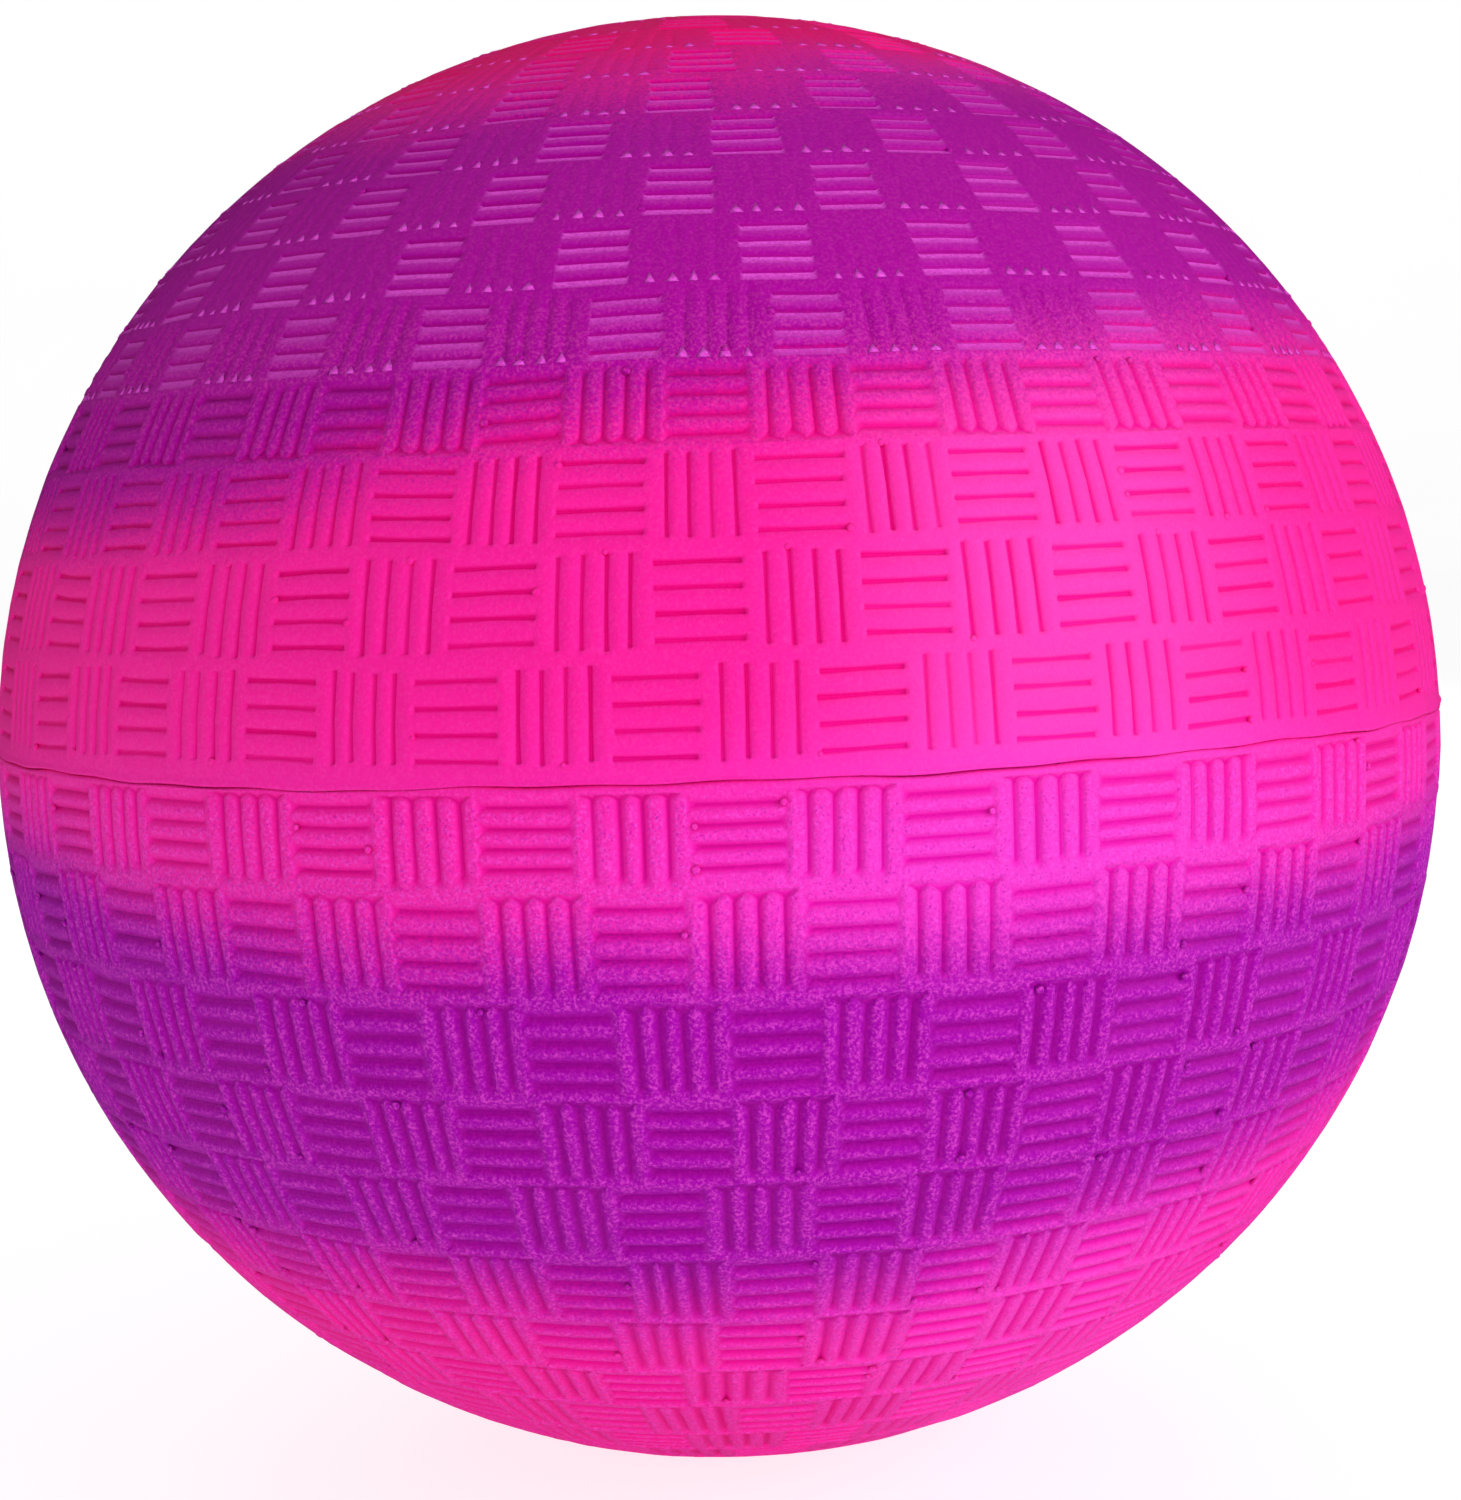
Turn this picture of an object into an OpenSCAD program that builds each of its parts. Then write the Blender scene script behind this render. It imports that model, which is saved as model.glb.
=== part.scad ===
// Playground rubber ball: two plies of rubber, each made as two half shells that meet at a
// parting plane, with an inflation valve at the top pole. Millimetres, +Z through the valve,
// origin at the centre of the ball.

/* [Ball] */
// Outside diameter of the inflated ball
ball_d = 216; // [200:1:260]
// Height of the parting plane above the ball's centre
seam_z = 4; // [0:0.5:6]
// How far the flash bead stands out of the ball at the parting plane
flash_h = 0.25; // [0.1:0.05:0.5]
// Height of one half of the flash bead
flash_w = 0.6; // [0.3:0.1:1]

/* [Plies] */
// Thickness of the textured outer cover
cover_t = 1.4; // [1.2:0.1:2]
// Thickness of the airtight inner ply
ply_t = 1.0; // [0.8:0.1:1.5]
// Thickness of the joint tape inside the seam
tape_t = 0.6; // [0.4:0.1:1]
// Width of the joint tape
tape_w = 16; // [10:1:24]

/* [Valve] */
// Radius of the valve's neck, which fills the hole through both plies
neck_r = 4; // [3.8:0.1:5]
// Radius of the valve's bonding flange
flange_r = 15; // [12:1:18]
// Thickness of the valve's bonding flange
flange_t = 1.2; // [1:0.1:1.6]
// Outside radius of the valve's pot, inside the ball
pot_r = 5.2; // [5:0.1:6]
// Depth of the pot's floor below the top of the ball
pot_depth = 15; // [14.5:0.5:18]
// Radius of the pocket that takes the plug's stem
pocket_r = 2.6; // [2.4:0.1:2.8]
// Radius of the recess that takes the plug's head
recess_r = 3.4; // [3.3:0.1:3.6]
// Depth of the recess below the top of the ball
recess_depth = 2.8; // [2.4:0.1:3.2]
// Radial gap between the plug and the pot
plug_gap = 0.05; // [0.03:0.01:0.08]
// Length of the whole plug
plug_len = 12.5; // [11:0.5:13]
// Radius of the needle channel in the plug
needle_r = 0.9; // [0.8:0.05:1]
// Length of the needle channel below its countersink
needle_len = 8.5; // [7:0.5:9]
// Outer radius of the patch that holds the valve's flange
patch_r = 26; // [20:1:30]
// Thickness of the patch
patch_t = 0.8; // [0.6:0.1:1]

/* [Hidden] */
ball_r = ball_d / 2;
ply_r = ball_r - cover_t;
cavity_r = ply_r - ply_t;
flange_in_r = cavity_r - flange_t;
seam_r = sqrt(ball_r * ball_r - seam_z * seam_z);
head_sink = 0.4;
head_r = recess_r - plug_gap;
stem_r = pocket_r - plug_gap;
tip_r = 1.9;
tip_len = 3;
countersink_r = 1.9;
countersink_h = 1;
air_hole_r = 1.2;
patch_step = 1.5;
far = 2 * ball_d;
$fn = 180;

// A spherical shell between two radii
module shell(outer_r, inner_r) {
    difference() {
        sphere(r = outer_r);
        sphere(r = inner_r);
    }
}

// Everything above (side = 1) or below (side = -1) the parting plane
module half_space(side) {
    shift = side > 0 ? 0 : -far;
    translate([-far / 2, -far / 2, seam_z + shift])
        cube(far);
}

// Everything within a radius of the valve's axis, above the centre
module valve_column(radius) {
    cylinder(r = radius, h = far);
}

// One half of the flash bead that the mould's parting line leaves
module flash_bead(side) {
    root_r = seam_r - cover_t / 2;
    translate([0, 0, seam_z])
        mirror([0, 0, side > 0 ? 0 : 1])
            rotate_extrude()
                polygon([[root_r, 0], [seam_r + flash_h, 0],
                         [seam_r + flash_h, flash_w / 3], [seam_r - flash_h, flash_w],
                         [root_r, flash_w]]);
}

module cover_half(side) {
    intersection() {
        shell(ball_r, ply_r);
        half_space(side);
    }
    flash_bead(side);
}

module cover_upper() {
    color("hotpink")
        difference() {
            cover_half(1);
            valve_column(neck_r);
        }
}

module cover_lower() {
    color("deeppink")
        cover_half(-1);
}

module inner_ply_half(side) {
    intersection() {
        shell(ply_r, cavity_r);
        half_space(side);
    }
}

module inner_ply_upper() {
    color("dimgray")
        difference() {
            inner_ply_half(1);
            valve_column(neck_r);
        }
}

module inner_ply_lower() {
    color("dimgray")
        inner_ply_half(-1);
}

// Rubber tape bonded over the joint, inside the ball
module seam_tape() {
    color("black")
        intersection() {
            shell(cavity_r, cavity_r - tape_t);
            translate([0, 0, seam_z - tape_w / 2])
                cylinder(r = far, h = tape_w);
        }
}

// Patch over the flange: a thick ring beyond the flange's edge and a thin one on the flange
module valve_patch() {
    color("darkslategray")
        union() {
            difference() {
                intersection() {
                    shell(cavity_r, flange_in_r - patch_t);
                    valve_column(flange_r + patch_step);
                }
                valve_column(flange_r);
            }
            difference() {
                intersection() {
                    shell(cavity_r, cavity_r - patch_t);
                    valve_column(patch_r);
                }
                valve_column(flange_r + patch_step / 2);
            }
            difference() {
                intersection() {
                    shell(flange_in_r, flange_in_r - patch_t);
                    valve_column(flange_r + patch_step / 2);
                }
                valve_column(pot_r);
            }
        }
}

module valve_housing() {
    color("black")
        difference() {
            intersection() {
                union() {
                    intersection() {
                        shell(cavity_r, flange_in_r);
                        valve_column(flange_r);
                    }
                    translate([0, 0, flange_in_r - 2])
                        cylinder(r = neck_r, h = far);
                    translate([0, 0, ball_r - pot_depth])
                        cylinder(r = pot_r, h = pot_depth - cover_t - ply_t - flange_t / 2);
                }
                sphere(r = ball_r);
            }
            translate([0, 0, ball_r - recess_depth])
                cylinder(r = recess_r, h = far);
            translate([0, 0, ball_r - plug_len - 0.5])
                cylinder(r = pocket_r, h = far);
            translate([0, 0, ball_r - far])
                cylinder(r = air_hole_r, h = far);
        }
}

// Push-in rubber plug that the inflating needle passes through
module valve_plug() {
    head_z = ball_r - recess_depth;
    tip_z = ball_r - plug_len;
    mouth_z = ball_r - head_sink;
    color("gray")
        difference() {
            union() {
                translate([0, 0, head_z])
                    cylinder(r = head_r, h = recess_depth - head_sink);
                translate([0, 0, tip_z + tip_len])
                    cylinder(r = stem_r, h = plug_len - tip_len - recess_depth + 1);
                translate([0, 0, tip_z])
                    cylinder(r1 = tip_r, r2 = stem_r, h = tip_len);
            }
            translate([0, 0, mouth_z - countersink_h - needle_len])
                cylinder(r = needle_r, h = far);
            translate([0, 0, mouth_z - countersink_h])
                cylinder(r1 = needle_r, r2 = countersink_r, h = countersink_h);
            translate([0, 0, mouth_z])
                cylinder(r = countersink_r, h = far);
        }
}

cover_upper();
cover_lower();
inner_ply_upper();
inner_ply_lower();
seam_tape();
valve_patch();
valve_housing();
valve_plug();
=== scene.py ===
# A hot pink playground ball with soft purple bands: two textured rubber half covers that meet at a
# mould line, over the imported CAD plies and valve. Metres, +Z through the valve, front towards -Y.
import math

import bpy
import numpy as np
from mathutils import Matrix, Vector

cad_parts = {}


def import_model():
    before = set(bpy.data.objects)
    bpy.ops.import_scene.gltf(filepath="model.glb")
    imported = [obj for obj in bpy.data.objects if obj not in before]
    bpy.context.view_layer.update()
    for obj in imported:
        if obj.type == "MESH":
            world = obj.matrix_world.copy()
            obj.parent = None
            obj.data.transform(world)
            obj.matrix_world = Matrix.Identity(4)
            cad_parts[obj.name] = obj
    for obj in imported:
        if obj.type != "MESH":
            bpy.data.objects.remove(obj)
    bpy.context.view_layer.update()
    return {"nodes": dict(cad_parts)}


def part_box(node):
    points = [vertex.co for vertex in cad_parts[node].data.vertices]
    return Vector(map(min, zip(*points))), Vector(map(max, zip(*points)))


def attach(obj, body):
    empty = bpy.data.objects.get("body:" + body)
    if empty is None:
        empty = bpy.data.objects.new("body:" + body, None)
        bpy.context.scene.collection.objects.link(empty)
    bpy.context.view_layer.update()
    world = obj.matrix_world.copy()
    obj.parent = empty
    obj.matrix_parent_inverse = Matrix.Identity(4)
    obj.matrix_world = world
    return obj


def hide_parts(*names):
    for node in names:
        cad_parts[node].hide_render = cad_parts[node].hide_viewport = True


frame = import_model()

# ---------------------------------------------------------------- sizes taken from the CAD model
MM = 0.001
BALL_R = -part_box("cover_lower")[0][2]
SEAM_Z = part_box("cover_lower")[1][2]
PLY_R = -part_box("inner_ply_lower")[0][2]
SEAM_LAT = math.asin(SEAM_Z / BALL_R)
# The radius of the hole that the valve's neck fills
HOLE_R = 4.0 * MM

# ---------------------------------------------------------------- the moulded basket weave
# Each row of the weave, from the parting line to the pole: the far edge's latitude in degrees,
# how many pairs of squares go round, and the longitude of one square with level grooves.
UPPER_ROWS = (
    (10, 28, 9), (17, 27, -1), (23.5, 27, 6), (29.5, 27, 0), (35.5, 26, -6), (41.5, 24, 6),
    (47.5, 23, -2), (53, 20, 5), (59, 18, -2), (64.5, 15, 1), (70, 12, 9), (76, 9, 0), (82, 6, 10),
)
LOWER_ROWS = (
    (-4.5, 27, 1), (-11.5, 27, 8), (-18.5, 27, 3), (-25, 27, -3), (-31.5, 25, 9), (-38, 24, 3),
    (-44.5, 21, 2), (-50, 19, 9), (-56.5, 18, 4), (-62, 15, 11), (-68, 12, 5), (-74, 9, 0),
    (-80, 6, 10),
)
GROOVES = 4
# Half the plain land between two squares
LAND_GAP = 0.15 * MM
# How many rows from the parting line have pips, and below it the finer cut
FINE_ROWS = 8
# The share of groove ends that have a vent pip
PIP_SHARE = 0.05
# How far below the ball's surface the root of a pip or burr lies
ROOT_DEPTH = 0.35 * MM
# The groove depth that the material reads as 1
DEPTH_UNIT = 0.6 * MM

# How a groove is cut. In millimetres: distances from its middle line ("reach", where 0 is a single
# line along its bottom) and the depths there, the length of its end ramps, how far the ribs reach
# past its ends ("bulge"), how far the rib tips dip at the ends ("valley"), and how far the crowns
# between level grooves lie below the land ("sink"). As shares: how much its mouth and throat widen,
# the depth left at its mouth ("end_share"), how wide its two banks are ("lean"), and how strongly
# its depth paints shade in the groove, which also keeps spray and grain out of it.
CRISP = {"reach": (0.12, 0.38), "depth": (0.50, 0.02), "ramp": 0.30, "mouth": 2.0, "throat": 1.5,
         "end_share": 0.0, "valley": (0.0, 0.0), "bulge": (0.0, 0.0), "sink": 0.05,
         "lean": (1.0, 1.0), "shade_weight": 1.0}
ROUND = {"reach": (0.0, 0.40, 0.92), "depth": (0.80, 0.36, 0.11), "ramp": 0.60, "mouth": 1.8,
         "throat": 1.1, "end_share": 0.45, "valley": (0.38, 0.14), "bulge": (0.85, 0.45),
         "sink": 0.10, "lean": (1.0, 1.0), "shade_weight": 1.0}
SOFT = dict(ROUND, reach=(0.0, 0.32, 0.85), depth=(0.72, 0.28, 0.07))
LEANING = {"reach": (0.10, 0.55, 1.05), "depth": (0.42, 0.26, 0.03), "ramp": 0.45, "mouth": 1.0,
           "throat": 1.0, "end_share": 0.1, "valley": (0.0, 0.0), "bulge": (0.0, 0.0), "sink": 0.0,
           "lean": (1.35, 0.4), "shade_weight": 1.6}
COARSE = {"reach": (0.14, 0.62), "depth": (0.62, 0.15), "ramp": 0.60, "mouth": 1.6,
          "throat": 1.1, "end_share": 0.45, "valley": (0.26, 0.12), "bulge": (0.6, 0.3),
          "sink": 0.08, "lean": (1.0, 1.0), "shade_weight": 1.0}
WORN = dict(COARSE, valley=(0.0, 0.0), bulge=(0.0, 0.0), shade_weight=0.3)
# The distance between grooves, in millimetres, below which they get narrower
NOMINAL_PITCH = 3.0
# How much of a worn vertical groove's depth is left at each level up a square, in the first worn
# row and above it
HALF_WORN_DEPTH = (0.0, 0.4, 0.65, 0.6, 0.5, 0.3, 0.0)
WORN_DEPTH = (0.0, 0.1, 0.2, 0.16, 0.13, 0.1, 0.0)
FIRST_WORN_ROW = 4
# How bright the painted highlight on a groove's leaning bank is, from its foot down to the groove's
# bottom
BANK_LIPS = (0.6, 1.0, 1.4)
# How bright the painted highlight on the crowns between leaning grooves is, and the first row where
# it gets brighter
CROWN_LIP = 0.22
BRIGHT_CROWN_ROW = 7

rng = np.random.default_rng(85)


def random_waves(count, shortest, longest):
    """Smooth waves over the ball: a direction scaled by how tight the wave is, and a start."""
    direction = rng.normal(size=(count, 3))
    direction /= np.linalg.norm(direction, axis=1, keepdims=True)
    tightness = 2 * math.pi * BALL_R / rng.uniform(shortest, longest, (count, 1))
    return direction * tightness, rng.uniform(0, 2 * math.pi, count)


def ripple(waves, lon, lat):
    """The sum of the waves at each point, about -1 to 1."""
    direction, start = waves
    place = np.stack([np.sin(lon) * np.cos(lat), -np.cos(lon) * np.cos(lat), np.sin(lat)], axis=-1)
    return np.sin(place @ direction.T + start).sum(axis=-1) / math.sqrt(len(start))


WANDER_EAST = random_waves(8, 12 * MM, 40 * MM)
WANDER_UP = random_waves(8, 12 * MM, 40 * MM)
SWELL = random_waves(10, 5 * MM, 12 * MM)


class Skin:
    """The points and faces of one half cover. side is 1 above the parting plane and -1 below it."""

    def __init__(self, side):
        self.side = side
        self.points = []
        self.depths = []
        self.lips = []
        self.faces = []
        self.count = 0

    def add(self, lon, lat, height, shade_weight=1.0, lip=0.0):
        """Points on the ball, height above its nominal radius; returns their numbers. The weight
        after height scales their depth as the material reads it, for painted shade in grooves and
        less spray and grain there; lip is how much painted highlight they get."""
        lon, lat, height = np.broadcast_arrays(lon, lat, height)
        radius = BALL_R + height
        xyz = np.stack([radius * np.sin(lon) * np.cos(lat),
                        -radius * np.cos(lon) * np.cos(lat),
                        radius * np.sin(lat)], axis=-1)
        return self.add_xyz(xyz, shade_weight * np.clip(-height, 0.0, None), lip)

    def add_xyz(self, xyz, depth, lip=0.0):
        """Points at places in space, with what the material reads at them; returns their numbers."""
        shape = xyz.shape[:-1]
        size = int(np.prod(shape))
        self.points.append(xyz.reshape(size, 3))
        self.depths.append(np.broadcast_to(depth, shape).reshape(size))
        self.lips.append(np.broadcast_to(lip, shape).reshape(size))
        self.count += size
        return np.arange(self.count - size, self.count).reshape(shape)

    def face(self, *corners):
        """One face, with its corners given as they run on the upper half cover."""
        order = corners if self.side > 0 else corners[::-1]
        self.faces.append(tuple(int(c) for c in order))

    def grid(self, ids):
        """Quads over a table of points whose rows lead away from the parting line."""
        for near, far in zip(ids[:-1], ids[1:]):
            for k in range(len(near) - 1):
                self.face(near[k], near[k + 1], far[k + 1], far[k])

    def zip(self, near, near_keys, far, far_keys):
        """Triangles between two runs of points, both sorted by their keys."""
        i = j = 0
        while i < len(near) - 1 or j < len(far) - 1:
            at_end = j == len(far) - 1
            if at_end or (i < len(near) - 1 and near_keys[i + 1] <= far_keys[j + 1]):
                self.face(near[i], near[i + 1], far[j])
                i += 1
            else:
                self.face(near[i], far[j + 1], far[j])
                j += 1

    def zip_rings(self, near, far):
        """Triangles between two closed rings, each a pair of point numbers and longitudes."""
        near_ids, near_lon = closed_ring(*near)
        far_ids, far_lon = closed_ring(*far)
        self.zip(near_ids, near_lon, far_ids, far_lon)

    def ring(self, lon, lat, height):
        return self.add(lon, lat, height), lon

    def pip(self, lon, lat, radius, height):
        """A small closed dome, such as the rubber that a mould's vent hole leaves."""
        turn = np.linspace(0, 2 * math.pi, 8, endpoint=False)
        rings = []
        for share, up in ((1.0, -ROOT_DEPTH), (0.95, 0.1 * height), (0.6, 0.8 * height)):
            east = radius * share * np.cos(turn) / (BALL_R * math.cos(lat))
            north = self.side * radius * share * np.sin(turn) / BALL_R
            ids = self.add(lon + east, lat + north, up, 0.0)
            rings.append(np.append(ids, ids[0]))
        for outer, inner in zip(rings[:-1], rings[1:]):
            for k in range(len(turn)):
                self.face(outer[k], outer[k + 1], inner[k + 1], inner[k])
        tip = self.add(lon, lat, height)
        root = self.add(lon, lat, -ROOT_DEPTH, 0.0)
        for k in range(len(turn)):
            self.face(rings[-1][k], rings[-1][k + 1], tip)
            self.face(rings[0][k + 1], rings[0][k], root)

    def peak(self, lon, lat, width, length, height):
        """A small closed pyramid that points away from the parting line: the burr left at the end
        of a worn groove, on the upper half cover. Its points carry a full painted highlight."""
        east = 0.5 * width / (BALL_R * math.cos(lat))
        tip = length / BALL_R
        foot = -0.02 * MM
        left = self.add(lon - east, lat, foot, 0.0, 1.0)
        right = self.add(lon + east, lat, foot, 0.0, 1.0)
        far = self.add(lon, lat + tip, foot, 0.0, 1.0)
        top = self.add(lon, lat + 0.2 * tip, height, 0.0, 1.0)
        root = self.add(lon, lat + 0.3 * tip, -ROOT_DEPTH, 0.0, 1.0)
        for a, b in ((left, right), (right, far), (far, left)):
            self.face(a, b, top)
            self.face(b, a, root)

    def object(self, name):
        """The finished Blender object, smooth shaded."""
        mesh = bpy.data.meshes.new(name)
        points = np.concatenate(self.points)
        mesh.from_pydata(points.tolist(), [], self.faces)
        mesh.validate()
        for label, values, unit in (("depth", self.depths, DEPTH_UNIT), ("lip", self.lips, 1.0)):
            layer = mesh.attributes.new(label, "FLOAT", "POINT")
            layer.data.foreach_set("value", np.concatenate(values) / unit)
        mesh.polygons.foreach_set("use_smooth", np.ones(len(self.faces), dtype=bool))
        mesh.normals_split_custom_set_from_vertices(area_normals(points, self.faces).tolist())
        piece = bpy.data.objects.new(name, mesh)
        bpy.context.scene.collection.objects.link(piece)
        return piece


def closed_ring(ids, lon):
    """A ring's points in order of longitude from 0, with the first point again at the end."""
    turned = np.mod(lon, 2 * math.pi)
    order = np.argsort(turned, kind="stable")
    ids = np.asarray(ids)[order]
    turned = turned[order]
    return np.append(ids, ids[0]), np.append(turned, turned[0] + 2 * math.pi)


def area_normals(points, faces):
    """A normal for each point, in which a large flat face counts more than a narrow one."""
    normals = np.zeros_like(points)
    for size in (3, 4):
        corners = np.array([f for f in faces if len(f) == size])
        if not len(corners):
            continue
        p = points[corners]
        across = p[:, 2] - p[:, 0]
        other = p[:, size - 1] - p[:, 1] if size == 4 else p[:, 1] - p[:, 0]
        area = np.cross(across, other) if size == 4 else np.cross(other, across)
        for k in range(size):
            np.add.at(normals, corners[:, k], area)
    length = np.linalg.norm(normals, axis=1, keepdims=True)
    return normals / np.maximum(length, 1e-20)


# ---------------------------------------------------------------- one square of the weave
def across_profile(cut, centres, length):
    """Columns across a square's grooves, as four arrays: the position from 0 to 1 that a column
    belongs to, its depth, its offset from there, and its groove's number or -1 on a crown."""
    pitch = (centres[1] - centres[0]) * length
    scale = min(1.0, pitch / (NOMINAL_PITCH * MM))
    columns = [(0.0, 0.0, 0.0, -1)]
    steps = list(zip(cut["reach"], cut["depth"]))
    for k, centre in enumerate(centres):
        for sign, lean in zip((-1, 1), cut["lean"]):
            for reach, deep in steps[::sign]:
                if sign > 0 and reach == 0.0:
                    continue
                columns.append((centre, deep * MM, sign * reach * lean * scale * MM / length, k))
        last = k + 1 == len(centres)
        columns.append((1.0 if last else (centre + centres[k + 1]) / 2, 0.0, 0.0, -1))
    return [np.array(part) for part in zip(*columns)]


def weave_square(cut, centres, across_len, along_len, ends, share, sink):
    """Tables of across, along (both 0 to 1) and height for one square, along by across."""
    place, depth, offset, groove = across_profile(cut, centres, across_len)
    in_groove = groove >= 0
    half_pitch = (centres[1] - centres[0]) / 2
    wander = np.where(in_groove, rng.normal(0, 0.06 * MM / across_len, GROOVES)[groove], 0.0)
    drift = np.where(in_groove, rng.normal(0, 0.05 * MM / across_len, GROOVES)[groove], 0.0)
    skew = rng.normal(0, 0.10 * MM / across_len)
    uneven = np.where(in_groove, rng.normal(0, 0.13 * MM / along_len, (2, GROOVES))[:, groove], 0.0)
    deep = rng.normal(1.0, 0.10, GROOVES)[groove]
    rib = 1.0 - np.clip(depth / (0.5 * MM), 0.0, 1.0)
    ramp = cut["ramp"] * MM / along_len
    near_out = ends[0] + uneven[0] - rib * cut["bulge"][0] * MM / along_len
    far_out = 1.0 - ends[1] + uneven[1] + rib * cut["bulge"][1] * MM / along_len
    near_out = np.clip(near_out, 0.012, 0.4)
    far_out = np.clip(far_out, 0.6, 0.988)
    zero = np.zeros_like(place)
    levels = (zero, near_out, near_out + ramp, zero + 0.5, far_out - ramp, far_out, zero + 1.0)
    flare = (1.0, cut["mouth"], cut["throat"], 1.0, cut["throat"], cut["mouth"], 1.0)
    valley = (0.0, cut["valley"][0], 0.0, 0.0, 0.0, cut["valley"][1], 0.0)
    off_edge = (place > 0.02) & (place < 0.98)
    across = []
    height = []
    for k in range(len(levels)):
        edge = k in (0, len(levels) - 1)
        spread = np.clip(1.0 - np.abs(offset) / half_pitch, 0.0, 1.0)
        opened = offset * (1.0 + (flare[k] - 1.0) * spread)
        shift = 0.0 if edge else wander + (drift + skew * off_edge) * (k - 3) / 2
        across.append(np.clip(place + opened + shift, 0.0, 1.0))
        lowered = off_edge * (valley[k] + (0.0 if edge else sink)) * MM
        height.append(-depth * deep * share[k] - lowered)
    return np.array(across), np.array(levels), np.array(height)


def groove_centres(first, last):
    """The grooves' middle lines, evenly spaced from the first to the last, as shares of a square."""
    return [first + (last - first) * k / (GROOVES - 1) for k in range(GROOVES)]


def square_cut(side, row, level_grooves):
    """How a square's grooves are cut, and how their depth goes along them."""
    if side > 0 and row < 3:
        return CRISP, end_to_end(CRISP)
    if side > 0 and row >= FIRST_WORN_ROW:
        if level_grooves:
            return LEANING, end_to_end(LEANING)
        return WORN, HALF_WORN_DEPTH if row == FIRST_WORN_ROW else WORN_DEPTH
    if side > 0 or row < 2:
        cut = SOFT
    else:
        cut = ROUND if row < FINE_ROWS else COARSE
    if level_grooves:
        cut = dict(cut, valley=(0.12, 0.12))
    return cut, end_to_end(cut)


def end_to_end(cut):
    """How much of a groove's depth is left at each level along it."""
    end = cut["end_share"]
    return 0.0, end, 1.0, 1.0, 1.0, end, 0.0


def square_layout(side, row, level_grooves):
    """Groove centres across a square, and how far the grooves' ends stay from its two edges."""
    crisp = side > 0 and row < 3
    if level_grooves:
        first, last = (0.13, 0.85) if side > 0 else (0.17, 0.88)
        if row == 0:
            first, last = (0.16, 0.84) if side > 0 else (0.13, 0.80)
        return groove_centres(first, last), (0.04, 0.04) if crisp else (0.08, 0.08)
    ends = (0.05, 0.04) if crisp else (0.10, 0.09)
    if row == 0:
        ends = (0.12, 0.05) if side > 0 else (0.06, 0.09)
    return groove_centres(0.14, 0.86), ends


def hand_cut(lon, lat, height):
    """Places of a square's points after the small wander of a mould that was cut by hand."""
    fade = np.clip(np.abs(lat - SEAM_LAT) * BALL_R / (4 * MM), 0.0, 1.0)
    moved_lon = lon + fade * ripple(WANDER_EAST, lon, lat) * 0.14 * MM / (BALL_R * np.cos(lat))
    moved_lat = lat + fade * ripple(WANDER_UP, lon, lat) * 0.16 * MM / BALL_R
    moved_height = height + fade * ripple(SWELL, lon, lat) * 0.03 * MM
    return moved_lon, moved_lat, moved_height


def add_pips(skin, lon, lat):
    """Vent pips at the ends of a few of a square's grooves."""
    for level in (1, 5):
        for groove in range(GROOVES):
            if rng.random() > PIP_SHARE:
                continue
            columns = (lon.shape[1] - 1) // GROOVES
            column = groove * columns + columns // 2
            skin.pip(lon[level, column], lat[level, column],
                     rng.uniform(0.35, 0.6) * MM, rng.uniform(0.08, 0.22) * MM)


def leaning_shade_and_highlight(row, height):
    """How much painted shade and painted highlight each point of a level square gets: the steep bank
    of each groove, which faces down, is painted darker, and the leaning bank is painted bright."""
    shade_weight = np.zeros_like(height)
    lip = np.zeros_like(height)
    columns = (len(height) - 1) // GROOVES
    crown = CROWN_LIP + 0.3 * np.clip((row + 1 - BRIGHT_CROWN_ROW) / 3, 0.0, 1.0)
    share = 0.7 if row == FIRST_WORN_ROW else 1.0
    for groove in range(GROOVES):
        first = groove * columns
        if groove:
            lip[first, 2:-2] = crown
        for step, bright in enumerate(BANK_LIPS):
            lip[first + 1 + step, 2:-2] = np.maximum(bright * share, crown)
        shade_weight[first + 1 + len(BANK_LIPS):first + columns] = LEANING["shade_weight"]
    return shade_weight, lip


def add_peaks(skin, lon, lat):
    """A burr at the lower end of each groove of a worn vertical square."""
    columns = (lon.shape[1] - 1) // GROOVES
    for groove in range(GROOVES):
        column = groove * columns + columns // 2
        skin.peak(lon[1, column], lat[0, column] + 0.1 * MM / BALL_R, rng.uniform(1.2, 2.2) * MM,
                  rng.uniform(1.0, 1.9) * MM, rng.uniform(0.08, 0.16) * MM)


def add_square(skin, row, level_grooves, west, wide_rad, near_lat, far_lat):
    """One square. Returns tables of its point numbers, longitudes and shares of the way up, whose
    rows lead away from the parting line."""
    tall = abs(far_lat - near_lat) * BALL_R
    wide = wide_rad * BALL_R * math.cos((near_lat + far_lat) / 2)
    centres, ends = square_layout(skin.side, row, level_grooves)
    cut, share = square_cut(skin.side, row, level_grooves)
    # How much painted shade the groove depth gives, and no painted highlight yet
    shade_weight, lip = cut["shade_weight"], 0.0
    if level_grooves:
        up, east, height = weave_square(cut, centres, tall, wide, ends, share, cut["sink"])
    else:
        east, up, height = weave_square(cut, centres, wide, tall, ends, share, 0.0)
    lon, lat, height = hand_cut(west + east * wide_rad, near_lat + up * (far_lat - near_lat), height)
    if row < FINE_ROWS:
        add_pips(skin, lon, lat)
    if level_grooves:
        lon, lat, height, up = lon.T, lat.T, height.T, up.T
        if cut is LEANING:
            shade_weight, lip = leaning_shade_and_highlight(row, height)
    elif cut is WORN:
        add_peaks(skin, lon, lat)
    ids = skin.add(lon, lat, height, shade_weight, lip)
    skin.grid(ids)
    return ids, lon, up


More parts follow.
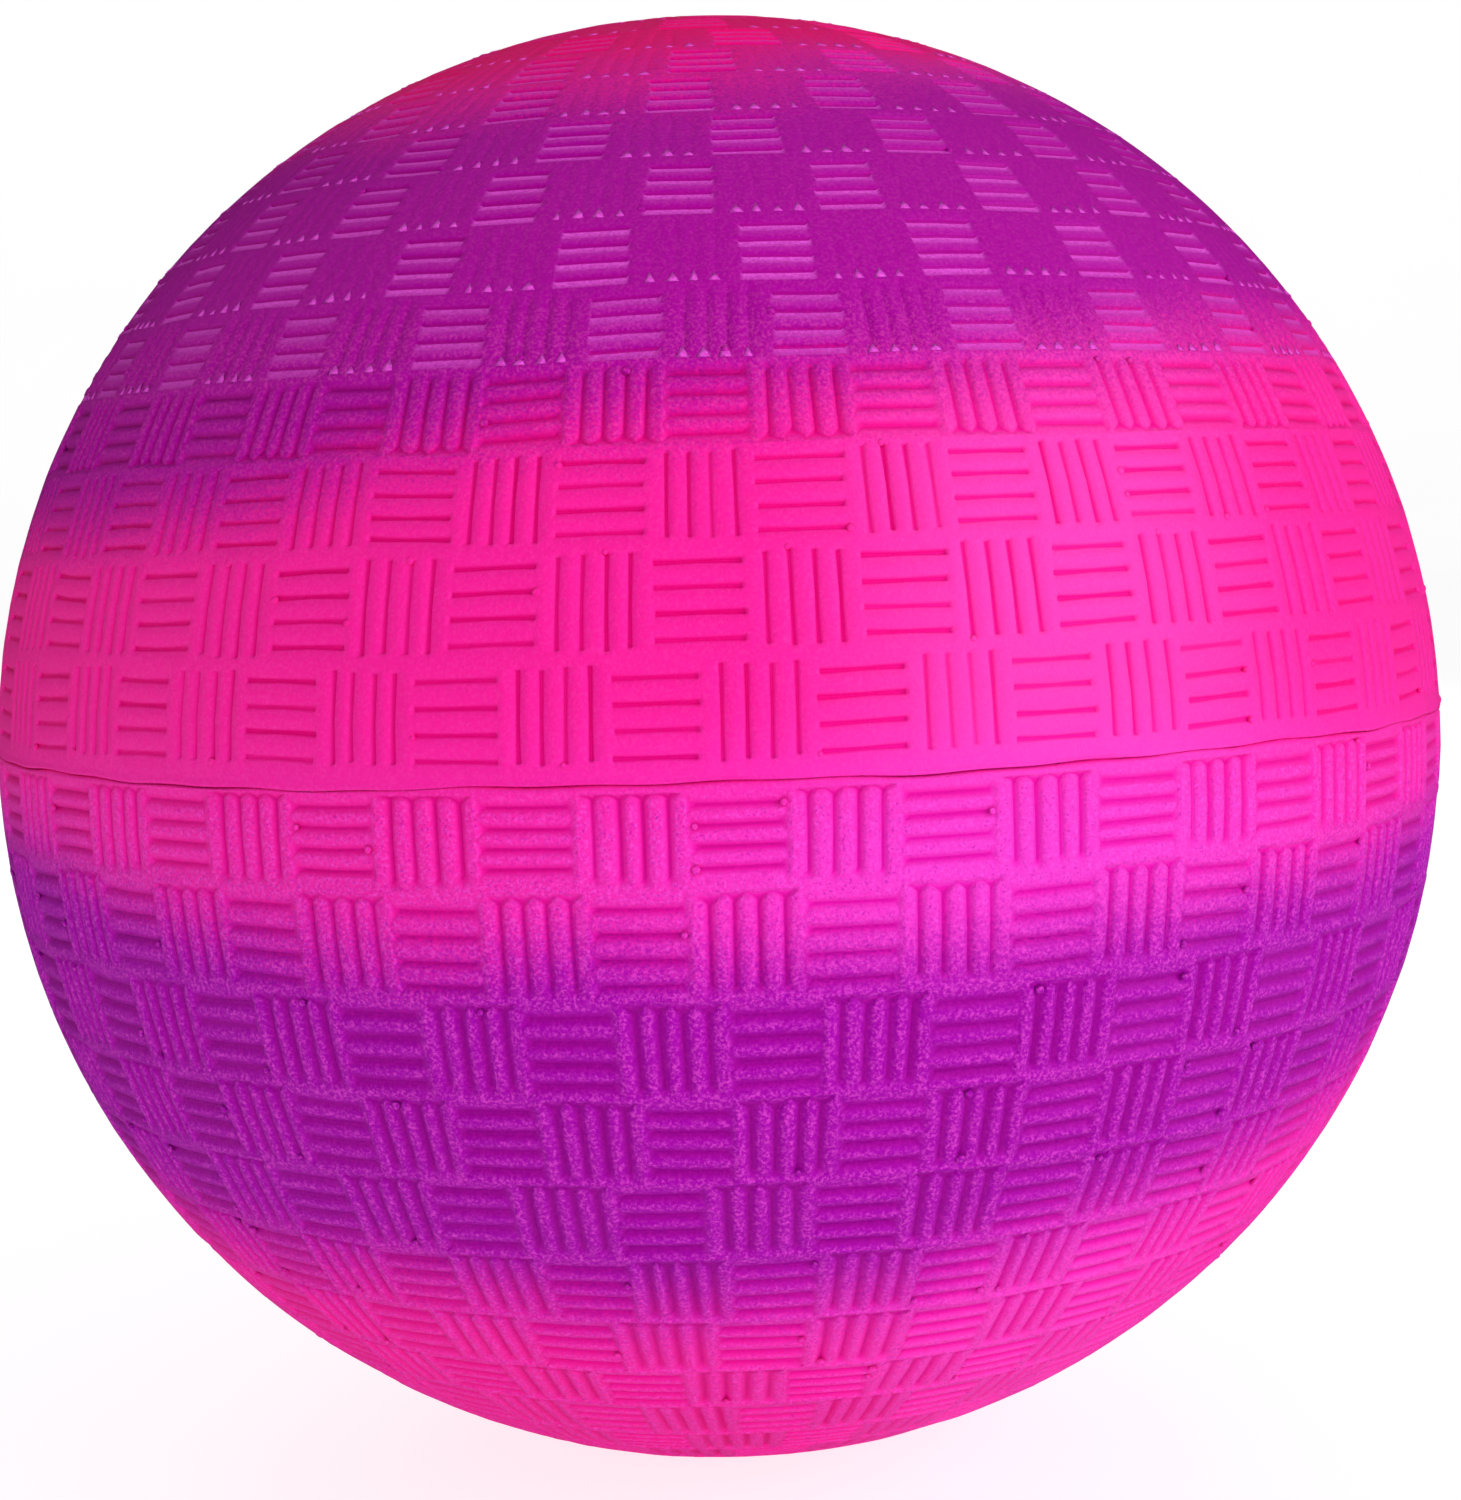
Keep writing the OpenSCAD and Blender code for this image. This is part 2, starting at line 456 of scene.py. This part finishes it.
def weave_row(skin, row, near_lat, far_lat, pairs, phase):
    """One row of squares and the land between them; returns its near and far rings."""
    pair = 2 * math.pi / pairs
    near_lat = near_lat + skin.side * LAND_GAP / BALL_R
    far_lat = far_lat - skin.side * LAND_GAP / BALL_R
    gap = LAND_GAP / (BALL_R * math.cos((near_lat + far_lat) / 2))
    squares = []
    for k in range(2 * pairs):
        west = math.radians(phase) + pair * (k - 0.5) / 2 + gap
        squares.append(add_square(skin, row, k % 2 == 0, west, pair / 2 - 2 * gap, near_lat, far_lat))
    for k, (ids, _, up) in enumerate(squares):
        after, _, after_up = squares[(k + 1) % len(squares)]
        skin.zip(after[:, 0], after_up[:, 0], ids[:, -1], up[:, -1])
    near = [np.concatenate([square[part][0] for square in squares]) for part in (0, 1)]
    far = [np.concatenate([square[part][-1] for square in squares]) for part in (0, 1)]
    return near, far


# ---------------------------------------------------------------- the two half covers
SEAM_POINTS = 540
INNER_POINTS = 80
INNER_RINGS = 18
ALL_ROUND = np.linspace(0, 2 * math.pi, SEAM_POINTS, endpoint=False)
INNER_ROUND = np.linspace(0, 2 * math.pi, INNER_POINTS, endpoint=False)


def wave(lon, *terms):
    """A closed wavy line round the ball: each term is (height, cycles, start in degrees)."""
    return sum(h * np.sin(n * lon + math.radians(start)) for h, n, start in terms)


def seam_drift(lon):
    """How far the mould line wanders from its level plane, as a latitude."""
    return wave(lon, (0.28, 3, 40), (0.18, 8, 150), (0.12, 19, 20), (0.10, 45, 80)) * MM / BALL_R


def bead_height(lon):
    """Height of the flash bead, which comes and goes along the mould line."""
    swell = wave(lon, (0.05, 5, 10), (0.05, 13, 200), (0.04, 29, 70))
    return (0.14 + swell) * MM


def seam_rings(skin):
    """The flash bead's rings, from the parting plane outwards to the plain land beside it."""
    drift = seam_drift(ALL_ROUND)
    bead = bead_height(ALL_ROUND)
    side = skin.side
    if side > 0:
        profile = ((0.0, 0.15), (0.12, 0.9), (0.30, 1.0), (0.55, 0.25), (0.85, 0.0))
    else:
        profile = ((0.0, -3.0), (0.2, -1.6), (0.42, 0.4), (0.75, 0.0))
    rings = []
    for away, share in profile:
        fade = 1.0 - away / profile[-1][0]
        lat = SEAM_LAT + drift * fade + side * away * MM / BALL_R
        rings.append(skin.ring(ALL_ROUND, lat, bead * share))
    return rings


def inner_ring(skin, radius, lat):
    """A level ring on the cover's inner face."""
    xyz = np.stack([radius * np.sin(INNER_ROUND) * math.cos(lat),
                    -radius * np.cos(INNER_ROUND) * math.cos(lat),
                    np.full(INNER_POINTS, radius * math.sin(lat))], axis=-1)
    return skin.add_xyz(xyz, 0.0), INNER_ROUND


# A polar disc's low rim: shares of the disc's radius, and heights in millimetres
DISC_RIM = ((0.93, 0.0), (0.90, 0.12), (0.82, 0.12), (0.79, 0.0))


def close_pole(skin, ring, lat):
    """A plain disc over the pole, with a low moulded rim; ends in one point."""
    side = skin.side
    edge = math.pi / 2 - abs(lat)
    for share, height in DISC_RIM + ((0.4, 0.0),):
        after = skin.ring(INNER_ROUND, side * (math.pi / 2 - edge * share), height * MM)
        skin.zip_rings(ring, after)
        ring = after
    tip = skin.add(0.0, side * math.pi / 2, 0.0)
    ids, _ = closed_ring(*ring)
    for a, b in zip(ids[:-1], ids[1:]):
        skin.face(a, b, tip)


def open_pole(skin, ring, lat):
    """A plain disc round the valve's hole, with a low moulded rim and a rounded lip."""
    edge = (math.pi / 2 - lat) * BALL_R
    profile = [(edge * share, height) for share, height in DISC_RIM]
    profile += [(HOLE_R + 0.9 * MM, 0.0), (HOLE_R + 0.35 * MM, -0.05), (HOLE_R + 0.06 * MM, -0.2),
                (HOLE_R, -0.45)]
    for away, height in profile:
        after = skin.ring(INNER_ROUND, math.pi / 2 - away / BALL_R, height * MM)
        skin.zip_rings(ring, after)
        ring = after
    return ring


def line_inside(skin, seam_ring, pole_ring):
    """The cover's inner face, its cut edge at the parting plane and the wall of the valve's hole."""
    side = skin.side
    seam_lat = math.asin(SEAM_Z / PLY_R)
    pole_lat = side * (math.pi / 2 - (HOLE_R / PLY_R if side > 0 else 0.02))
    rings = [seam_ring]
    for k in range(INNER_RINGS + 1):
        lat = seam_lat + (pole_lat - seam_lat) * k / INNER_RINGS
        rings.append(inner_ring(skin, PLY_R, lat))
    skin.side = -side
    for near, far in zip(rings[:-1], rings[1:]):
        skin.zip_rings(near, far)
    if side > 0:
        skin.zip_rings(rings[-1], pole_ring)
    else:
        tip = skin.add_xyz(np.array([0.0, 0.0, side * PLY_R]), 0.0)
        ids, _ = closed_ring(*rings[-1])
        for a, b in zip(ids[:-1], ids[1:]):
            skin.face(a, b, tip)
    skin.side = side


def half_cover(name, side, rows):
    """One closed half cover, from the mould line to the pole and back along its inner face."""
    skin = Skin(side)
    rings = seam_rings(skin)
    for near, far in zip(rings[:-1], rings[1:]):
        skin.zip_rings(near, far)
    ring = rings[-1]
    lat = SEAM_LAT + side * (0.95 if side > 0 else 0.75) * MM / BALL_R
    for row, (edge, pairs, phase) in enumerate(rows):
        edge = math.radians(edge)
        near, far = weave_row(skin, row, lat, edge, pairs, phase)
        skin.zip_rings(ring, near)
        ring = far
        lat = edge
    if side > 0:
        pole = open_pole(skin, ring, lat)
    else:
        close_pole(skin, ring, lat)
        pole = None
    line_inside(skin, rings[0], pole)
    return skin.object(name)


# ---------------------------------------------------------------- materials
def srgb(red, green, blue):
    """Linear colour from 0 to 255 display values."""
    def linear(v):
        v = v / 255
        return v / 12.92 if v <= 0.04045 else ((v + 0.055) / 1.055) ** 2.4
    return (linear(red), linear(green), linear(blue), 1.0)


class Nodes:
    """Short names for building one material's node tree."""

    def __init__(self, name):
        self.material = bpy.data.materials.new(name)
        self.material.use_nodes = True
        self.tree = self.material.node_tree
        self.shader = self.tree.nodes["Principled BSDF"]

    def new(self, kind, **settings):
        node = self.tree.nodes.new(kind)
        for key, value in settings.items():
            setattr(node, key, value)
        return node

    def put(self, socket, value):
        if isinstance(value, bpy.types.NodeSocket):
            self.tree.links.new(value, socket)
        else:
            socket.default_value = value

    def math(self, operation, a, b=0.0, c=0.0, clamp=False):
        node = self.new("ShaderNodeMath", operation=operation, use_clamp=clamp)
        for socket, value in zip(node.inputs, (a, b, c)):
            self.put(socket, value)
        return node.outputs[0]

    def smooth(self, value, low, high):
        node = self.new("ShaderNodeMapRange", interpolation_type="SMOOTHSTEP")
        self.put(node.inputs["Value"], value)
        self.put(node.inputs["From Min"], low)
        self.put(node.inputs["From Max"], high)
        return node.outputs["Result"]

    def mix(self, share, a, b, blend="MIX"):
        node = self.new("ShaderNodeMix", data_type="RGBA", blend_type=blend)
        self.put(node.inputs[0], share)
        self.put(node.inputs[6], a)
        self.put(node.inputs[7], b)
        return node.outputs[2]

    def noise(self, scale, detail=2.0, roughness=0.5, vector=None):
        node = self.new("ShaderNodeTexNoise")
        node.inputs["Scale"].default_value = scale
        node.inputs["Detail"].default_value = detail
        node.inputs["Roughness"].default_value = roughness
        self.put(node.inputs["Vector"], vector or self.place())
        return node.outputs["Fac"]

    def place(self):
        return self.new("ShaderNodeTexCoord").outputs["Object"]

    def bump(self, height, distance, strength=1.0):
        node = self.new("ShaderNodeBump")
        node.inputs["Strength"].default_value = strength
        node.inputs["Distance"].default_value = distance
        self.put(node.inputs["Height"], height)
        self.put(self.shader.inputs["Normal"], node.outputs["Normal"])


PINK = srgb(247, 28, 148)
# A paler pink painted round +X: a painted highlight where the key light falls
HIGHLIGHT_PINK = srgb(253, 56, 170)
LILAC_PINK = srgb(236, 56, 204)
HOT_PINK = srgb(244, 0, 112)
PURPLE_ABOVE = srgb(168, 0, 150)
PURPLE_BELOW = srgb(162, 0, 166)
# Painted shade, multiplied into the colour deep in grooves
GROOVE_SHADE = (0.90, 0.15, 0.76, 1.0)
PALE_ABOVE = srgb(255, 92, 190)
PALE_BELOW = srgb(250, 84, 220)
# The painted highlight on leaning banks, crowns and burrs
HIGHLIGHT_LAVENDER = srgb(238, 88, 224)
TALC = srgb(190, 186, 180)


# Each band's lower and upper edge: its height at the front, where 1 is the top of the ball, how
# much higher it is towards +X, and how much higher it is at the ball's sides
UPPER_BAND = ((0.43, 0.125, 0.0), (0.855, 0.05, 0.0))
LOWER_BAND = ((-0.67, 0.077, 0.22), (-0.165, -0.02, 0.11))


def above(n, level, line, soft):
    """0 below a line and 1 above it, with a soft edge."""
    return n.smooth(n.math("SUBTRACT", level, line), -soft, soft)


def between(n, level, low, high, soft_low, soft_high):
    """1 between two lines and 0 beyond them, with soft edges."""
    return n.math("SUBTRACT", above(n, level, low, soft_low), above(n, level, high, soft_high))


def purple_share(n, east, back, level, depth):
    """Where the purple is sprayed on: two bands round the ball. The upper band's lower edge is a
    little higher in the grooves."""
    aside = n.math("SUBTRACT", 1.0, n.math("MULTIPLY", back, back))

    def edge(height, tilt, bow):
        tilted = n.math("ADD", height, n.math("MULTIPLY", east, tilt))
        return n.math("ADD", tilted, n.math("MULTIPLY", aside, bow))

    bare_grooves = n.math("MULTIPLY", depth, 0.03)
    low_edge = n.math("ADD", edge(*UPPER_BAND[0]), bare_grooves)
    upper = between(n, level, low_edge, edge(*UPPER_BAND[1]), 0.09, 0.08)
    lower = between(n, level, edge(*LOWER_BAND[0]), edge(*LOWER_BAND[1]), 0.11, 0.08)
    return n.math("MAXIMUM", upper, lower)


def pink_and_highlight(n, east, up, level):
    """The pink of the rubber: paler a little towards +X, where a painted highlight stands in for the
    key light's sheen, more lilac from the mould line down, and hotter at the top."""
    aside_of_highlight = n.math("ABSOLUTE", n.math("SUBTRACT", east, 0.38))
    pink = n.mix(n.smooth(aside_of_highlight, 0.36, 0.04), PINK, HIGHLIGHT_PINK)
    aside_of_lilac = n.math("ABSOLUTE", n.math("SUBTRACT", east, 0.3))
    lilac = n.math("ADD", 0.25, n.math("MULTIPLY", n.smooth(aside_of_lilac, 0.7, 0.0), 0.55))
    lilac = n.math("MULTIPLY", lilac, n.smooth(up, 0.14, -0.06))
    lilac = n.math("MULTIPLY", lilac, n.smooth(up, -1.0, -0.3))
    return n.mix(above(n, level, 0.88, 0.05), n.mix(lilac, pink, LILAC_PINK), HOT_PINK)


def grain_share(n, east, up, below, depth):
    """How grainy the rubber is: most below the mould line, some in the first worn row and towards
    -X, and little in grooves."""
    left = n.smooth(east, -0.15, -0.55)
    row_four = n.math("MULTIPLY", n.smooth(up, 0.34, 0.42), n.smooth(up, 0.62, 0.52))
    sandy = n.math("MAXIMUM", n.math("MULTIPLY", left, 0.3), n.math("MULTIPLY", row_four, 0.5))
    grainy = n.math("MAXIMUM", below, sandy)
    grainy = n.math("MULTIPLY", grainy, n.smooth(up, 0.72, 0.56))
    grainy = n.math("MAXIMUM", grainy, 0.22)
    raised = n.smooth(depth, 0.6, 0.1)
    return n.math("MULTIPLY", grainy, n.math("ADD", 0.3, n.math("MULTIPLY", raised, 0.7)))


def speckled(n, colour, spray, grainy, below):
    """A colour with pale and dark specks where the rubber is grainy."""
    pale_speck = n.mix(below, PALE_ABOVE, PALE_BELOW)
    pale = n.math("MULTIPLY", n.smooth(n.noise(2200.0, 3.0, 0.7), 0.44, 0.66), grainy)
    colour = n.mix(n.math("MULTIPLY", pale, 0.5), colour, pale_speck)
    dark = n.math("MULTIPLY", n.smooth(n.noise(2900.0, 2.0, 0.6), 0.42, 0.32), grainy)
    dark_share = n.math("ADD", 0.15, n.math("MULTIPLY", below, 0.4))
    return n.mix(n.math("MULTIPLY", dark, dark_share), colour, spray)


def painted_highlight_and_shade(n, colour, grain, depth):
    """A colour with a painted lavender highlight on leaning banks, crowns and burrs, and painted
    shade deep in grooves.
    """
    lip = n.new("ShaderNodeAttribute", attribute_name="lip").outputs["Fac"]
    grainy_highlight = n.math("MULTIPLY", lip, n.math("ADD", 0.8, n.math("MULTIPLY", grain, 1.8)))
    # Painted lavender highlight, grainy
    colour = n.mix(n.math("MULTIPLY", grainy_highlight, 0.85, clamp=True), colour, HIGHLIGHT_LAVENDER)
    # Painted shade deep in grooves
    shade = n.mix(n.smooth(depth, 0.2, 0.95), (1.0, 1.0, 1.0, 1.0), GROOVE_SHADE)
    return n.mix(1.0, colour, shade, "MULTIPLY")


def cover_rubber():
    """Pink rubber with purple sprayed on in soft, speckled bands round the ball, with painted
    highlights and painted shade in its colour.
    """
    n = Nodes("cover_rubber")
    split = n.new("ShaderNodeSeparateXYZ")
    n.put(split.inputs[0], n.place())
    east = n.math("DIVIDE", split.outputs["X"], BALL_R)
    back = n.math("DIVIDE", split.outputs["Y"], BALL_R)
    up = n.math("DIVIDE", split.outputs["Z"], BALL_R)
    cloud = n.math("SUBTRACT", n.noise(18.0, 3.0), 0.5)
    grain = n.math("SUBTRACT", n.noise(2300.0, 2.0, 0.6), 0.5)
    ragged = n.math("ADD", n.math("MULTIPLY", cloud, 0.16), n.math("MULTIPLY", grain, 0.16))
    level = n.math("ADD", up, ragged)
    depth = n.new("ShaderNodeAttribute", attribute_name="depth").outputs["Fac"]
    below = n.smooth(up, 0.06, 0.0)
    spray = n.mix(below, PURPLE_ABOVE, PURPLE_BELOW)
    grainy = grain_share(n, east, up, below, depth)
    colour = n.mix(purple_share(n, east, back, level, depth), pink_and_highlight(n, east, up, level), spray)
    colour = speckled(n, colour, spray, grainy, below)
    n.put(n.shader.inputs["Base Color"], painted_highlight_and_shade(n, colour, grain, depth))
    n.shader.inputs["Specular IOR Level"].default_value = 0.4
    n.shader.inputs["Specular Tint"].default_value = (1.0, 0.08, 0.80, 1.0)
    rough = n.math("ADD", 0.36, n.math("MULTIPLY", n.noise(900.0, 3.0), 0.14))
    n.put(n.shader.inputs["Roughness"], rough)
    strength = n.math("ADD", 0.25, n.math("MULTIPLY", grainy, 0.75))
    rough_cut = n.math("MULTIPLY", n.noise(750.0, 3.0, 0.6), 1.4)
    height = n.math("MULTIPLY", n.math("ADD", n.noise(2600.0, 3.0, 0.6), rough_cut), strength)
    n.bump(height, 0.22 * MM)
    return n.material


def plain_rubber(name, colour, dust, dust_scale, roughness):
    """Rubber of one colour, dulled by a dusting of talc."""
    n = Nodes(name)
    share = n.smooth(n.noise(dust_scale, 5.0, 0.65), 0.45, 0.7)
    n.put(n.shader.inputs["Base Color"], n.mix(n.math("MULTIPLY", share, dust), colour, TALC))
    n.shader.inputs["Roughness"].default_value = roughness
    n.bump(n.noise(1500.0, 3.0, 0.6), 0.08 * MM)
    return n.material


def paint(obj, material):
    obj.data.materials.clear()
    obj.data.materials.append(material)


# ---------------------------------------------------------------- make the pieces
RUBBER = cover_rubber()
for cover, side, rows in (("cover_upper", 1, UPPER_ROWS), ("cover_lower", -1, LOWER_ROWS)):
    piece = half_cover(cover + "_moulded", side, rows)
    paint(piece, RUBBER)
    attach(piece, "ball")
    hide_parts(cover)

PLY = plain_rubber("inner_ply_rubber", srgb(38, 36, 36), 0.5, 60.0, 0.75)
TAPE = plain_rubber("tape_rubber", srgb(26, 26, 28), 0.25, 90.0, 0.7)
VALVE = plain_rubber("valve_rubber", srgb(226, 30, 140), 0.0, 60.0, 0.45)
PLUG = plain_rubber("plug_rubber", srgb(24, 24, 24), 0.1, 200.0, 0.45)
for node, material in (("inner_ply_upper", PLY), ("inner_ply_lower", PLY), ("seam_tape", TAPE),
                       ("valve_patch", TAPE), ("valve_housing", VALVE), ("valve_plug", PLUG)):
    paint(frame["nodes"][node], material)

# ---------------------------------------------------------------- floor, lights and camera
CAMERA_BALLS_AWAY = 3.9
CAMERA_UP_DEG = 5.0
CAMERA_ROLL_DEG = -2.0
# The ball's radius as a share of the picture's width
BALL_ON_FRAME = 0.4808
FRAME_SHIFT = (0.0075, -0.0091)
SENSOR_MM = 36.0
# The stage: the floor's radius, the radius of the bend at its edge, the wall's height, how many
# sides and bend steps they have, and how strongly both glow
FLOOR_R = 3.5
BEND_R = 1.5
WALL_H = 3.0
STAGE_SIDES = 96
BEND_STEPS = 12
STAGE_GLOW = 0.77
STAGE_GREYS = (srgb(160, 160, 160), srgb(168, 168, 168))
SKY_LIGHT = 0.56


def pale_stage(name, points, faces, lights_ball):
    """A plain pale surface that isn't part of the ball. Only one that lights the ball is seen by
    diffuse rays."""
    mesh = bpy.data.meshes.new(name)
    mesh.from_pydata(points, [], faces)
    mesh.polygons.foreach_set("use_smooth", np.ones(len(faces), dtype=bool))
    obj = bpy.data.objects.new(name, mesh)
    bpy.context.scene.collection.objects.link(obj)
    n = Nodes(name)
    n.put(n.shader.inputs["Base Color"], n.mix(n.noise(3.0), *STAGE_GREYS))
    n.shader.inputs["Roughness"].default_value = 0.9
    n.shader.inputs["Emission Color"].default_value = (1.0, 1.0, 1.0, 1.0)
    n.shader.inputs["Emission Strength"].default_value = STAGE_GLOW
    paint(obj, n.material)
    obj.visible_glossy = False
    obj.visible_diffuse = lights_ball
    obj.visible_shadow = lights_ball


def floor_and_wall():
    """A pale round floor, and a wall that curves up from its edge far away on every side."""
    turns = [2 * math.pi * k / STAGE_SIDES for k in range(STAGE_SIDES)]
    rim = [(FLOOR_R * math.cos(t), FLOOR_R * math.sin(t), -BALL_R) for t in turns]
    pale_stage("floor", rim, [range(STAGE_SIDES)], True)
    line = []
    for k in range(BEND_STEPS + 1):
        a = math.radians(90 * k / BEND_STEPS)
        line.append((FLOOR_R + BEND_R * math.sin(a), BEND_R - BEND_R * math.cos(a)))
    line.append((FLOOR_R + BEND_R, WALL_H))
    points = []
    for reach, z in line:
        points += [(reach * math.cos(t), reach * math.sin(t), z - BALL_R) for t in turns]
    faces = []
    for row in range(len(line) - 1):
        for k in range(STAGE_SIDES):
            near = row * STAGE_SIDES + k
            after = row * STAGE_SIDES + (k + 1) % STAGE_SIDES
            faces.append((near, near + STAGE_SIDES, after + STAGE_SIDES, after))
    pale_stage("wall", points, faces, False)


def softbox(name, at, size, power, glossy=True):
    """A soft area light, wide by tall, that faces the ball; glossy ones show as highlights."""
    light = bpy.data.lights.new(name, "AREA")
    light.shape = "RECTANGLE"
    light.size, light.size_y = size
    light.energy = power
    obj = bpy.data.objects.new(name, light)
    obj.location = at
    obj.rotation_euler = (-Vector(at)).to_track_quat("-Z", "Y").to_euler()
    obj.visible_camera = False
    obj.visible_glossy = glossy
    bpy.context.scene.collection.objects.link(obj)


def camera():
    """The camera in front of the ball, a little above its middle and rolled slightly."""
    up_tilt = math.radians(CAMERA_UP_DEG)
    roll = math.radians(CAMERA_ROLL_DEG)
    back = Vector((0.0, -math.cos(up_tilt), math.sin(up_tilt)))
    level_right = Vector((1.0, 0.0, 0.0))
    level_up = back.cross(level_right)
    right = level_right * math.cos(roll) + level_up * math.sin(roll)
    up = back.cross(right)
    data = bpy.data.cameras.new("camera")
    data.sensor_width = SENSOR_MM
    data.lens = SENSOR_MM * BALL_ON_FRAME * math.sqrt(CAMERA_BALLS_AWAY ** 2 - 1)
    data.shift_x, data.shift_y = FRAME_SHIFT
    data.clip_start = 0.01
    obj = bpy.data.objects.new("camera", data)
    turn = Matrix((right, up, back)).transposed().to_4x4()
    obj.matrix_world = Matrix.Translation(back * CAMERA_BALLS_AWAY * BALL_R) @ turn
    bpy.context.scene.collection.objects.link(obj)
    bpy.context.scene.camera = obj


def world():
    """Even white light from all round, which doesn't show in reflections."""
    sky = bpy.data.worlds.new("studio")
    sky.use_nodes = True
    background = sky.node_tree.nodes["Background"]
    background.inputs["Color"].default_value = (1.0, 1.0, 1.0, 1.0)
    background.inputs["Strength"].default_value = SKY_LIGHT
    sky.cycles_visibility.glossy = False
    bpy.context.scene.world = sky
    bpy.context.scene.view_settings.view_transform = "Standard"


floor_and_wall()
softbox("key_light", (1.06, -0.61, 0.445), (0.7, 0.7), 7.0)
softbox("back_light", (0.0, 1.2, 0.55), (1.0, 0.5), 4.0, glossy=False)
softbox("fill_light", (0.18, -1.2, 0.1), (0.8, 0.6), 3.4)
camera()
world()
